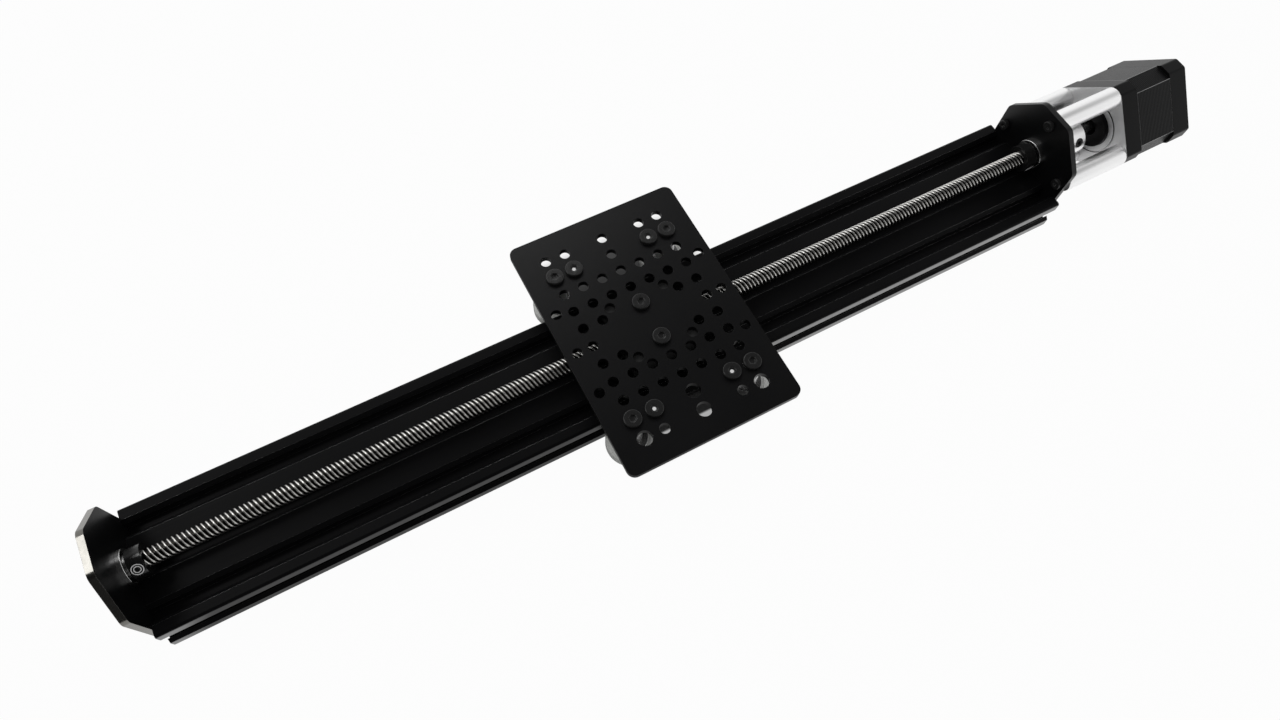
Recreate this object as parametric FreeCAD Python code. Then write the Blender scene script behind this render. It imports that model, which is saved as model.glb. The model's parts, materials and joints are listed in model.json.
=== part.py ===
"""Lead screw linear actuator: a slotted beam, a wheeled carriage and a stepper motor drive.

Millimetres, +Z up, +X from the idler end to the motor. The origin is the middle of the
overall box, on the plane that the beam lies on.
"""
import FreeCAD, Part
import math
import os

Vector = FreeCAD.Vector
ALONG_X = Vector(1, 0, 0)
ALONG_Z = Vector(0, 0, 1)

# Slotted beam: three square modules side by side, lying flat
beam_length = 475.0
beam_module = 20.0
beam_modules = 3
beam_corner = 1.5
slot_mouth = 9.16
slot_neck = 5.68
slot_lip = 1.8
pocket_width = 11.0
pocket_side = 1.5
slot_depth = 6.1
module_bore = 4.2
cavity_skin = 1.8
cavity_narrow = 5.6
cavity_wide = 10.8
cavity_flank = 6.0

# Lead screw and its two bearings
screw_diameter = 8.0
screw_rise = 8.4
screw_tail = 4.0
screw_grip = 10.5
screw_bearing_outer = 16.0
screw_bearing_width = 5.0
screw_bearing_race = 11.1
shim_outer = 10.0
shim_thickness = 1.0
collar_outer = 14.0
collar_length = 6.0
collar_screw = 4.0
collar_screw_angles = (45.0, 105.0)

# End plates
end_plate_thickness = 3.0
end_plate_width = 52.0
end_plate_rise = 28.2
end_plate_bottom = 0.5
end_plate_chamfer_width = 16.3
end_plate_chamfer_height = 17.5
end_plate_foot_chamfer = 3.0
end_plate_corner = 5.0

# Screws, nuts and fits
m5 = 5.0
m5_hole = 5.1
m5_head = 8.5
m5_head_height = 2.0
m5_key = 3.0
m5_key_depth = 1.2
m5_nut_flats = 8.0
m5_nut_height = 4.0
m5_tap_depth = 16.0
m5_beam_screw_length = 15.0
m3 = 3.0
m3_hole = 3.4
m3_head = 5.5
m3_head_height = 2.0
m3_key = 2.0
m3_key_depth = 1.0
m3_thread = 4.0
seat_gap = 0.02
running_gap = 0.05

# Motor, turned corner up, and what holds and drives it
motor_width = 42.3
motor_corner_cut = 3.2
stator_corner_cut = 4.9
motor_edge_round = 2.0
motor_hole_inset = 5.65
motor_front_length = 10.5
motor_stator_length = 23.0
motor_rear_length = 11.0
motor_pilot = 22.0
motor_pilot_height = 2.0
motor_groove_outer = 30.0
motor_groove_width = 0.8
motor_groove_depth = 0.6
motor_shaft = 5.0
motor_shaft_reach = 24.0
motor_shaft_hole = 9.0
motor_bearing_outer = 16.0
motor_bearing_width = 5.0
motor_bearing_race = 8.6
rotor_diameter = 22.4
rotor_end_gap = 1.0
air_gap = 0.3
case_screw_head = 5.0
case_screw_head_height = 2.4
grommet_width = 12.0
grommet_length = 6.0
grommet_depth = 5.0
standoff_outer = 11.0
standoff_length = 39.0
coupling_outer = 19.0
coupling_length = 24.0
coupling_gap = 0.7
coupling_slit = 0.8
coupling_slit_count = 3
coupling_slit_pitch = 2.4
coupling_web = 4.0
coupling_screw = 5.0
coupling_screw_inset = 4.2
coupling_screw_angle = 60.0

# Carriage plate and the nut below it
carriage_offset = 6.0
plate_length = 88.0
plate_width = 127.0
plate_thickness = 3.0
plate_corner = 4.0
hole_step = 10.0
hole_columns = (-3, -2, -1, 0, 1, 2, 3)
edge_columns = (-3, -2, 0, 2, 3)
edge_rows = (4, 5)
inner_rows = (2, 3)
middle_columns = (-3, -2, 2, 3)
axis_columns = (-3, 3)
ring_reach = 20.0
side_hole_x = 38.0
side_hole_y = 22.0
eccentric_hole = 7.2
nut_length = 34.0
nut_width = 34.0
nut_height = 10.0
nut_slit = 1.5
nut_slit_x = 8.5
nut_web = 8.0

# Wheels and their axles
wheel_diameter = 23.9
wheel_width = 10.2
wheel_play = 0.15
wheel_bearing_outer = 16.0
wheel_bearing_width = 5.0
wheel_bearing_race = 8.1
wheel_lip = 1.0
wheel_lip_bore = 14.0
axle_spacer_outer = 10.0
axle_shim = 1.0
eccentric_flats = 10.0
eccentric_hex_height = 6.0
eccentric_boss_height = 2.5
eccentric_throw = 0.8

# Places worked out from the sizes above
beam_width = beam_module * beam_modules
beam_height = beam_module
beam_mid_z = beam_height / 2
axis_z = beam_height + screw_rise
motor_length = motor_front_length + motor_stator_length + motor_rear_length
overall_length = (screw_tail + 2 * end_plate_thickness + beam_length
                  + standoff_length + motor_length)
beam_x0 = -overall_length / 2 + screw_tail + end_plate_thickness
beam_x1 = beam_x0 + beam_length
bay_x0 = beam_x1 + end_plate_thickness
motor_x0 = bay_x0 + standoff_length
stator_x0 = motor_x0 + motor_front_length
rear_x0 = stator_x0 + motor_stator_length
motor_x1 = rear_x0 + motor_rear_length
coupling_x0 = bay_x0 + coupling_gap
coupling_x1 = coupling_x0 + coupling_length
shaft_tip_x = motor_x0 - motor_shaft_reach
screw_x0 = beam_x0 - end_plate_thickness - screw_tail
screw_x1 = coupling_x0 + screw_grip
bearing_stand = screw_bearing_width - end_plate_thickness
motor_bolt_reach = (motor_width - 2 * motor_hole_inset) / math.sqrt(2)
motor_bolt_spots = [(motor_bolt_reach, axis_z), (-motor_bolt_reach, axis_z),
                    (0, axis_z + motor_bolt_reach)]
flush_bolt_spot = (0, axis_z - motor_bolt_reach)
beam_screw_spots = [(-beam_module, beam_mid_z), (beam_module, beam_mid_z)]
carriage_x = (beam_x0 + beam_x1) / 2 + carriage_offset
plate_z0 = axis_z + nut_height / 2
plate_z1 = plate_z0 + plate_thickness
wheel_row_y = hole_step * edge_rows[0]
wheel_stack = 2 * wheel_bearing_width + wheel_lip
stack_z0 = beam_mid_z - wheel_stack / 2
stack_z1 = beam_mid_z + wheel_stack / 2
shim_z1 = stack_z1 + axle_shim
axle_nut_z0 = stack_z0 - m5_nut_height
eccentric_z0 = plate_z0 - eccentric_hex_height


def rod(x0, x1, diameter, y=0.0, z=axis_z):
    """Round bar along X."""
    return Part.makeCylinder(diameter / 2, x1 - x0, Vector(x0, y, z), ALONG_X)


def post(z0, z1, diameter, x, y):
    """Round bar along Z."""
    return Part.makeCylinder(diameter / 2, z1 - z0, Vector(x, y, z0), ALONG_Z)


def ring_x(x0, x1, outer, inner):
    """Ring round the screw axis."""
    return rod(x0, x1, outer).cut(rod(x0, x1, inner))


def ring_z(z0, z1, outer, inner, x, y):
    """Ring round an upright axle."""
    return post(z0, z1, outer, x, y).cut(post(z0, z1, inner, x, y))


def block(x0, x1, y0, y1, z0, z1):
    """Box between two corners."""
    return Part.makeBox(x1 - x0, y1 - y0, z1 - z0, Vector(x0, y0, z0))


def polygon_face(points):
    """Flat face inside a closed outline."""
    return Part.Face(Part.makePolygon(points + points[:1]))


def hexagon_z(z0, height, flats, x, y):
    """Hexagonal bar along Z with two flats facing +X and -X."""
    radius = flats / math.sqrt(3)
    turns = [math.radians(30 + 60 * i) for i in range(6)]
    points = [Vector(x + radius * math.cos(t), y + radius * math.sin(t), z0) for t in turns]
    return polygon_face(points).extrude(ALONG_Z * height)


def hexagon_x(x0, length, flats, y, z):
    """Hexagonal bar along X."""
    radius = flats / math.sqrt(3)
    turns = [math.radians(60 * i) for i in range(6)]
    points = [Vector(x0, y + radius * math.cos(t), z + radius * math.sin(t)) for t in turns]
    return polygon_face(points).extrude(ALONG_X * length)


def turned_about_axis(shape, degrees):
    """Copy of a shape turned about the screw axis."""
    copy = shape.copy()
    copy.rotate(Vector(0, 0, axis_z), ALONG_X, degrees)
    return copy


def save(name, solids):
    """Write one node, of one solid or of a group of like solids."""
    parts = [solid for shape in solids for solid in shape.Solids]
    shape = parts[0] if len(parts) == 1 else Part.makeCompound(parts)
    shape.exportStep("parts/" + name + ".step")


def upright_screw(head_z, tip_z, x, y):
    """Low-head M5 socket screw, head up, with its seat at head_z."""
    head = post(head_z, head_z + m5_head_height, m5_head, x, y)
    shank = post(tip_z, head_z, m5, x, y)
    socket = hexagon_z(head_z + m5_head_height - m5_key_depth, m5_key_depth, m5_key, x, y)
    return head.fuse(shank).removeSplitter().cut(socket)


def upright_nut(z0, x, y):
    """Plain M5 hexagon nut on an upright screw."""
    thread = post(z0, z0 + m5_nut_height, m5 + 2 * seat_gap, x, y)
    return hexagon_z(z0, m5_nut_height, m5_nut_flats, x, y).cut(thread)


def edges_along_x(shape):
    """Straight edges of a shape that run along X."""
    return [edge for edge in shape.Edges if abs(edge.tangentAt(edge.FirstParameter).x) > 0.5]


def slot_face(y, z, out_y, out_z):
    """Section of one slot that opens through the beam's side along (out_y, out_z)."""
    floor_width = pocket_width - 2 * (slot_depth - slot_lip - pocket_side)
    mouth_depth = (slot_mouth - slot_neck) / 2
    half = [(slot_mouth / 2 + slot_lip, -slot_lip), (slot_neck / 2, mouth_depth),
            (slot_neck / 2, slot_lip), (pocket_width / 2, slot_lip),
            (pocket_width / 2, slot_lip + pocket_side), (floor_width / 2, slot_depth)]
    outline = half + [(-across, depth) for across, depth in reversed(half)]
    points = [Vector(beam_x0, y - depth * out_y + across * out_z, z - depth * out_z + across * out_y)
              for across, depth in outline]
    return polygon_face(points)


def cavity_face(y):
    """Section of the closed hollow between two modules."""
    tall = beam_height / 2 - cavity_skin
    shoulder = cavity_flank / 2 + (cavity_wide - cavity_narrow) / 2
    half = [(cavity_narrow / 2, tall), (cavity_narrow / 2, shoulder), (cavity_wide / 2, cavity_flank / 2)]
    right = half + [(across, -up) for across, up in reversed(half)]
    outline = right + [(-across, up) for across, up in reversed(right)]
    return polygon_face([Vector(beam_x0, y + across, beam_mid_z + up) for across, up in outline])


def make_beam():
    """Extruded section, then the tapped ends of the bores that take the end screws."""
    centres = [(i - (beam_modules - 1) / 2) * beam_module for i in range(beam_modules)]
    blank = block(beam_x0, beam_x1, -beam_width / 2, beam_width / 2, 0, beam_height)
    blank = blank.makeFillet(beam_corner, edges_along_x(blank))
    holes = [slot_face(y, beam_height, 0, 1) for y in centres]
    holes += [slot_face(y, 0, 0, -1) for y in centres]
    holes += [slot_face(beam_width / 2, beam_mid_z, 1, 0), slot_face(-beam_width / 2, beam_mid_z, -1, 0)]
    holes += [cavity_face((left + right) / 2) for left, right in zip(centres, centres[1:])]
    tools = [face.extrude(ALONG_X * beam_length) for face in holes]
    tools += [rod(beam_x0, beam_x1, module_bore, y, beam_mid_z) for y in centres]
    tapped = m5 + 2 * seat_gap
    for y, z in beam_screw_spots:
        tools.append(rod(beam_x0, beam_x0 + m5_tap_depth, tapped, y, z))
        tools.append(rod(beam_x1 - m5_tap_depth, beam_x1, tapped, y, z))
    return blank.cut(tools)


def make_end_plate(x0):
    """Plate with a chamfered head, the bearing seat and the two beam screw holes."""
    half = end_plate_width / 2
    top = axis_z + end_plate_rise
    foot = end_plate_foot_chamfer
    side = [(half - foot, end_plate_bottom), (half, end_plate_bottom + foot),
            (half, top - end_plate_chamfer_height), (half - end_plate_chamfer_width, top)]
    outline = side + [(-y, z) for y, z in reversed(side)]
    blank = polygon_face([Vector(x0, y, z) for y, z in outline]).extrude(ALONG_X * end_plate_thickness)
    head_corners = [edge for edge in edges_along_x(blank) if edge.CenterOfMass.z > axis_z]
    blank = blank.makeFillet(end_plate_corner, head_corners)
    x1 = x0 + end_plate_thickness
    tools = [rod(x0, x1, screw_bearing_outer + 2 * seat_gap)]
    tools += [rod(x0, x1, m5_hole, y, z) for y, z in beam_screw_spots]
    return blank.cut(tools)


def flush_head(x0, extra):
    """Countersunk M3 head that ends flush with the motor plate's inner face."""
    y, z = flush_bolt_spot
    return Part.makeCone(m3_head / 2 + extra, m3 / 2 + extra, (m3_head - m3) / 2, Vector(x0, y, z), ALONG_X)


def make_motor_end_plate():
    """End plate with the four motor bolt holes, the lowest one countersunk."""
    x0, x1 = beam_x1, beam_x1 + end_plate_thickness
    tools = [rod(x0, x1, m3_hole, y, z) for y, z in motor_bolt_spots + [flush_bolt_spot]]
    return make_end_plate(x0).cut(tools + [flush_head(x0, running_gap)])


def beam_screw(face_x, direction, y, z):
    """M5 screw whose head seats on an end plate's outer face and points into the beam."""
    head = Part.makeCylinder(m5_head / 2, m5_head_height, Vector(face_x, y, z), ALONG_X * -direction)
    shank = Part.makeCylinder(m5 / 2, m5_beam_screw_length, Vector(face_x, y, z), ALONG_X * direction)
    socket_x = face_x - direction * m5_head_height
    socket = hexagon_x(socket_x, direction * m5_key_depth, m5_key, y, z)
    return head.fuse(shank).removeSplitter().cut(socket)


def motor_bolt(y, z):
    """M3 bolt from the motor plate's inner face through a standoff into the motor."""
    head = rod(beam_x1 - m3_head_height, beam_x1, m3_head, y, z)
    shank = rod(beam_x1, motor_x0 + m3_thread, m3, y, z)
    socket = hexagon_x(beam_x1 - m3_head_height, m3_key_depth, m3_key, y, z)
    return head.fuse(shank).removeSplitter().cut(socket)


def make_flush_bolt():
    """Lowest motor bolt, countersunk because the beam's end lies against its head."""
    y, z = flush_bolt_spot
    bolt = flush_head(beam_x1, 0).fuse(rod(beam_x1, motor_x0 + m3_thread, m3, y, z)).removeSplitter()
    return bolt.cut(hexagon_x(beam_x1, m3_key_depth, m3_key, y, z))


def make_standoff(y, z):
    """Round spacer tube between the motor plate and the motor."""
    return rod(bay_x0, motor_x0, standoff_outer, y, z).cut(rod(bay_x0, motor_x0, m3_hole, y, z))


def squared_bar(x0, x1, corner_cut):
    """Square motor section with flat corners, one corner up."""
    half = motor_width / 2
    flat = half - corner_cut * math.sqrt(2)
    side = [(half, -flat), (half, flat), (flat, half), (-flat, half)]
    outline = side + [(-y, -z) for y, z in side]
    points = [Vector(x0, y, axis_z + z) for y, z in outline]
    return turned_about_axis(polygon_face(points).extrude(ALONG_X * (x1 - x0)), 45)


def corner_rods(x0, x1, diameter):
    """Rods through the motor's four corner holes."""
    spots = motor_bolt_spots + [flush_bolt_spot]
    return [rod(x0, x1, diameter, y, z) for y, z in spots]


def bearing_seat(x0, x1):
    """Seat of one motor bearing."""
    return rod(x0, x1, motor_bearing_outer + 2 * seat_gap)


def bell_blank(x0, x1):
    """Cast bell before its holes, with its long edges rounded."""
    bar = squared_bar(x0, x1, motor_corner_cut)
    return bar.makeFillet(motor_edge_round, edges_along_x(bar))


def make_front_bell():
    """Front end bell with its round pilot, shaft hole, bearing seat and bolt threads."""
    bell = bell_blank(motor_x0, stator_x0)
    bell = bell.fuse(rod(motor_x0 - motor_pilot_height, motor_x0, motor_pilot)).removeSplitter()
    groove_inner = motor_groove_outer - 2 * motor_groove_width
    tools = [rod(motor_x0 - motor_pilot_height, stator_x0, motor_shaft_hole)]
    tools.append(ring_x(motor_x0, motor_x0 + motor_groove_depth, motor_groove_outer, groove_inner))
    tools.append(bearing_seat(stator_x0 - motor_bearing_width, stator_x0))
    tools += corner_rods(motor_x0, motor_x0 + m3_thread, m3 + 2 * seat_gap)
    tools += corner_rods(stator_x0 - m3_thread, stator_x0, m3 + 2 * seat_gap)
    return bell.cut(tools)


def make_stator():
    """Lamination stack with the rotor's bore and the case screw holes."""
    stack = squared_bar(stator_x0, rear_x0, stator_corner_cut)
    bore = rod(stator_x0, rear_x0, rotor_diameter + 2 * air_gap)
    return stack.cut([bore] + corner_rods(stator_x0, rear_x0, m3_hole))


def lead_outlet(gap):
    """Block in the rear bell's low far side, where the motor's leads come out."""
    half = grommet_width / 2 + gap
    low = axis_z - motor_width / 2
    body = block(rear_x0, rear_x0 + grommet_length + gap, -half, half, low, low + grommet_depth + gap)
    return turned_about_axis(body, 45)


def make_rear_bell():
    """Rear end bell with its bearing seat, sunk case screws and the lead outlet."""
    bell = bell_blank(rear_x0, motor_x1)
    tools = [bearing_seat(rear_x0, rear_x0 + motor_bearing_width)]
    tools += corner_rods(rear_x0, motor_x1, m3_hole)
    tools += corner_rods(motor_x1 - case_screw_head_height, motor_x1, case_screw_head + 2 * running_gap)
    return bell.cut(tools + [lead_outlet(seat_gap)])


def case_screw(y, z):
    """Long M3 screw that holds the two bells together through the stator."""
    seat_x = motor_x1 - case_screw_head_height
    shank = rod(stator_x0 - m3_thread, seat_x, m3, y, z)
    head = rod(seat_x, motor_x1, case_screw_head, y, z)
    socket = hexagon_x(motor_x1 - m3_key_depth, m3_key_depth, m3_key, y, z)
    return shank.fuse(head).removeSplitter().cut(socket)


def make_rotor():
    """Rotor and its shaft in one piece."""
    core = rod(stator_x0 + rotor_end_gap, rear_x0 - rotor_end_gap, rotor_diameter)
    return core.fuse(rod(shaft_tip_x, rear_x0 + motor_bearing_width, motor_shaft)).removeSplitter()


def make_coupling():
    """Flexible coupling: two bores, staggered slits and its grub screw holes."""
    middle = (coupling_x0 + coupling_x1) / 2
    tools = [rod(coupling_x0, middle, screw_diameter + 2 * seat_gap),
             rod(middle, coupling_x1, motor_shaft + 2 * seat_gap)]
    reach = coupling_outer / 2
    for i in range(coupling_slit_count):
        x = middle + (i - (coupling_slit_count - 1) / 2) * coupling_slit_pitch
        slit = block(x - coupling_slit / 2, x + coupling_slit / 2, -reach, reach,
                     axis_z - reach + coupling_web, axis_z + reach)
        tools.append(turned_about_axis(slit, 180 * i + 90))
    body = rod(coupling_x0, coupling_x1, coupling_outer)
    return body.cut(tools + [hole for hole, grub in coupling_grubs()])


def radial_grub(x, bore, outer, diameter, angle):
    """Hole and grub screw from a round piece's outside down to what it grips."""
    start = bore / 2 + seat_gap
    hole = Part.makeCylinder(diameter / 2 + seat_gap, outer / 2, Vector(x, 0, axis_z), ALONG_Z)
    depth = outer / 2 - start - seat_gap
    grub = Part.makeCylinder(diameter / 2, depth, Vector(x, 0, axis_z + start), ALONG_Z)
    key = hexagon_z(axis_z + outer / 2 - seat_gap - m3_key_depth, m3_key_depth, m3_key, x, 0)
    return turned_about_axis(hole, angle), turned_about_axis(grub.cut(key), angle)


def coupling_grubs():
    """Two grub screws at right angles in each half of the coupling."""
    ends = [(coupling_x0 + coupling_screw_inset, screw_diameter),
            (coupling_x1 - coupling_screw_inset, motor_shaft)]
    return [radial_grub(x, bore, coupling_outer, coupling_screw, angle)
            for x, bore in ends for angle in (coupling_screw_angle, coupling_screw_angle + 90)]


def make_collar(x0, angle):
    """Lock collar on the screw, with its grub screw at an angle from straight up."""
    middle = x0 + collar_length / 2
    hole, grub = radial_grub(middle, screw_diameter, collar_outer, collar_screw, angle)
    return ring_x(x0, x0 + collar_length, collar_outer, screw_diameter + 2 * seat_gap).cut(hole), grub


def plate_holes():
    """Hole places in the carriage plate as (x step, y step), apart from the eccentric ones."""
    spots = [(i, sign * j) for sign in (-1, 1) for j in edge_rows for i in edge_columns]
    spots += [(i, sign * j) for sign in (-1, 1) for j in inner_rows for i in hole_columns]
    spots += [(i, sign) for sign in (-1, 1) for i in middle_columns + (0,)]
    spots += [(i, 0) for i in axis_columns]
    return spots


def is_eccentric(i, j):
    """True at the near edge rows, where every outer or middle hole takes an eccentric."""
    return -j in edge_rows and i in (edge_columns[0], 0, edge_columns[-1])


def make_carriage_plate():
    """Flat plate with round corners, a grid of M5 holes and four more on a ring."""
    half_x, half_y = plate_length / 2, plate_width / 2
    plate = block(carriage_x - half_x, carriage_x + half_x, -half_y, half_y, plate_z0, plate_z1)
    uprights = [edge for edge in plate.Edges if abs(edge.tangentAt(edge.FirstParameter).z) > 0.5]
    plate = plate.makeFillet(plate_corner, uprights)
    tools = []
    for i, j in plate_holes():
        diameter = eccentric_hole if is_eccentric(i, j) else m5_hole
        tools.append(post(plate_z0, plate_z1, diameter, carriage_x + i * hole_step, j * hole_step))
    on_ring = ring_reach / math.sqrt(2)
    for sx in (-1, 1):
        tools.append(post(plate_z0, plate_z1, m5_hole, carriage_x + sx * side_hole_x, 0))
        for sy in (-1, 1):
            tools.append(post(plate_z0, plate_z1, m5_hole, carriage_x + sx * on_ring, sy * on_ring))
            tools.append(post(plate_z0, plate_z1, m5_hole, carriage_x + sx * side_hole_x, sy * side_hole_y))
    return plate.cut(tools)


def make_nut_block():
    """Plastic nut block: the screw's bore, two tapped holes and the slit that takes up play."""
    half_x, half_y = nut_length / 2, nut_width / 2
    z0, z1 = plate_z0 - nut_height, plate_z0
    body = block(carriage_x - half_x, carriage_x + half_x, -half_y, half_y, z0, z1)
    slit_x = carriage_x + nut_slit_x
    tools = [rod(carriage_x - half_x, carriage_x + half_x, screw_diameter + 2 * running_gap),
             block(slit_x - nut_slit / 2, slit_x + nut_slit / 2, -half_y, half_y - nut_web, z0, z1)]
    tools += [post(z0, z1, m5 + 2 * seat_gap, carriage_x, y) for y in (-hole_step, hole_step)]
    return body.cut(tools)


def make_tyre(x, y):
    """Solid wheel whose two bevels run in the beam's side slot."""
    radius = wheel_diameter / 2
    sink = radius - (wheel_row_y - beam_width / 2)
    tread = slot_mouth / 2 - sink - wheel_play * math.sqrt(2)
    half = wheel_width / 2
    rim = radius - (half - tread)
    seat = wheel_bearing_outer / 2 + seat_gap
    upper = [(wheel_lip_bore / 2, wheel_lip / 2), (seat, wheel_lip / 2), (seat, half),
             (rim, half), (radius, tread)]
    outline = upper + [(r, -z) for r, z in reversed(upper)]
    section = polygon_face([Vector(x + r, y, beam_mid_z + z) for r, z in outline])
    return section.revolve(Vector(x, y, 0), ALONG_Z, 360)


def wheel_bearing_parts(x, y):
    """Outer rings with their shields, and inner rings, of one wheel's two bearings."""
    outer, inner = [], []
    for z0 in (stack_z0, stack_z1 - wheel_bearing_width):
        z1 = z0 + wheel_bearing_width
        outer.append(ring_z(z0, z1, wheel_bearing_outer, wheel_bearing_race, x, y))
        inner.append(ring_z(z0, z1, wheel_bearing_race - 2 * running_gap, m5 + 2 * seat_gap, x, y))
    return outer, inner


def make_eccentric(x, axle_x, y):
    """Hexagon spacer whose boss turns in the plate and whose bore is off centre."""
    hexagon = hexagon_z(eccentric_z0, eccentric_hex_height, eccentric_flats, x, y)
    boss = post(plate_z0, plate_z0 + eccentric_boss_height, eccentric_hole - 2 * running_gap, x, y)
    bore = post(eccentric_z0, plate_z1, m5 + 2 * seat_gap, axle_x, y)
    return hexagon.fuse(boss).removeSplitter().cut(bore)


os.makedirs("parts", exist_ok=True)

# Beam, end plates and their screws
save("beam", [make_beam()])
save("idler_end_plate", [make_end_plate(beam_x0 - end_plate_thickness)])
save("motor_end_plate", [make_motor_end_plate()])
save("end_plate_screws",
     [beam_screw(beam_x0 - end_plate_thickness, 1, y, z) for y, z in beam_screw_spots]
     + [beam_screw(bay_x0, -1, y, z) for y, z in beam_screw_spots])

# Screw bearings, shims and collars, mirrored between the two ends
inner_race = screw_bearing_race - 2 * running_gap
bearing_spans = [(beam_x0 - end_plate_thickness, beam_x0 + bearing_stand),
                 (beam_x1 - bearing_stand, bay_x0)]
shim_spans = [(beam_x0 + bearing_stand, beam_x0 + bearing_stand + shim_thickness),
              (beam_x1 - bearing_stand - shim_thickness, beam_x1 - bearing_stand)]
collar_starts = [shim_spans[0][1], shim_spans[1][0] - collar_length]
collars = [make_collar(x0, angle) for x0, angle in zip(collar_starts, collar_screw_angles)]
screw_seat = screw_diameter + 2 * seat_gap
save("screw_bearing_outer_rings",
     [ring_x(a, b, screw_bearing_outer, screw_bearing_race) for a, b in bearing_spans])
save("screw_bearing_inner_rings", [ring_x(a, b, inner_race, screw_seat) for a, b in bearing_spans])
save("screw_shims", [ring_x(a, b, shim_outer, screw_seat) for a, b in shim_spans])
save("lock_collars", [collar for collar, grub in collars])
save("collar_grub_screws", [grub for collar, grub in collars])
save("lead_screw", [rod(screw_x0, screw_x1, screw_diameter)])

# Motor with its standoffs, bolts and coupling
save("motor_standoffs", [make_standoff(y, z) for y, z in motor_bolt_spots + [flush_bolt_spot]])
save("motor_bolts", [motor_bolt(y, z) for y, z in motor_bolt_spots])
save("motor_flush_bolt", [make_flush_bolt()])
save("motor_front_bell", [make_front_bell()])
save("motor_stator", [make_stator()])
save("motor_rear_bell", [make_rear_bell()])
save("motor_case_screws", [case_screw(y, z) for y, z in motor_bolt_spots + [flush_bolt_spot]])
save("motor_lead_grommet", [lead_outlet(0)])
motor_bearing_spans = [(stator_x0 - motor_bearing_width, stator_x0),
                       (rear_x0, rear_x0 + motor_bearing_width)]
motor_inner_race = motor_bearing_race - 2 * running_gap
save("motor_bearing_outer_rings",
     [ring_x(a, b, motor_bearing_outer, motor_bearing_race) for a, b in motor_bearing_spans])
save("motor_bearing_inner_rings",
     [ring_x(a, b, motor_inner_race, motor_shaft + 2 * seat_gap) for a, b in motor_bearing_spans])
save("motor_rotor", [make_rotor()])
save("coupling", [make_coupling()])
save("coupling_grub_screws", [grub for hole, grub in coupling_grubs()])

# Carriage plate, nut block and their screws
save("carriage_plate", [make_carriage_plate()])
save("nut_block", [make_nut_block()])
save("nut_block_screws",
     [upright_screw(plate_z1, plate_z0 - nut_height, carriage_x, y) for y in (-hole_step, hole_step)])
inner_x = hole_step * edge_columns[-2]
inner_spots = [(carriage_x + sx * inner_x, sy * wheel_row_y) for sy in (-1, 1) for sx in (-1, 1)]
save("plate_screws", [upright_screw(plate_z1, plate_z0 - m5_nut_height, x, y) for x, y in inner_spots])
save("plate_nuts", [upright_nut(plate_z0 - m5_nut_height, x, y) for x, y in inner_spots])

# Wheels: the far pair on fixed spacers, the near pair on eccentric ones
hole_x = hole_step * edge_columns[-1]
corners = {"far_idler": (-1, 1), "far_motor": (1, 1), "near_idler": (-1, -1), "near_motor": (1, -1)}
axles, inner_rings, long_spacers, short_spacers, eccentrics = [], [], [], [], []
for corner, (sx, sy) in corners.items():
    seat_x = carriage_x + sx * hole_x
    axle_x = seat_x if sy > 0 else seat_x + sx * eccentric_throw
    axle_y = sy * wheel_row_y
    axles.append((axle_x, axle_y))
    outer_rings, inner = wheel_bearing_parts(axle_x, axle_y)
    inner_rings += inner
    save("wheel_" + corner, [make_tyre(axle_x, axle_y)])
    save("wheel_bearings_" + corner, outer_rings)
    bore = m5 + 2 * seat_gap
    if sy > 0:
        long_spacers.append(ring_z(shim_z1, plate_z0, axle_spacer_outer, bore, axle_x, axle_y))
    else:
        short_spacers.append(ring_z(shim_z1, eccentric_z0, axle_spacer_outer, bore, axle_x, axle_y))
        eccentrics.append(make_eccentric(seat_x, axle_x, axle_y))
save("wheel_bearing_inner_rings", inner_rings)
axle_seat = m5 + 2 * seat_gap
lip_z0, lip_z1 = beam_mid_z - wheel_lip / 2, beam_mid_z + wheel_lip / 2
save("wheel_bearing_shims", [ring_z(lip_z0, lip_z1, wheel_bearing_race, axle_seat, x, y) for x, y in axles])
save("axle_shims", [ring_z(stack_z1, shim_z1, axle_spacer_outer, axle_seat, x, y) for x, y in axles])
save("axle_spacers_long", long_spacers)
save("axle_spacers_short", short_spacers)
save("eccentric_spacers", eccentrics)
save("wheel_axle_screws", [upright_screw(plate_z1, axle_nut_z0, x, y) for x, y in axles])
save("axle_nuts", [upright_nut(axle_nut_z0, x, y) for x, y in axles])
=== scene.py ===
import json
import math

import bmesh
import bpy
from mathutils import Matrix, Vector

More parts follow.
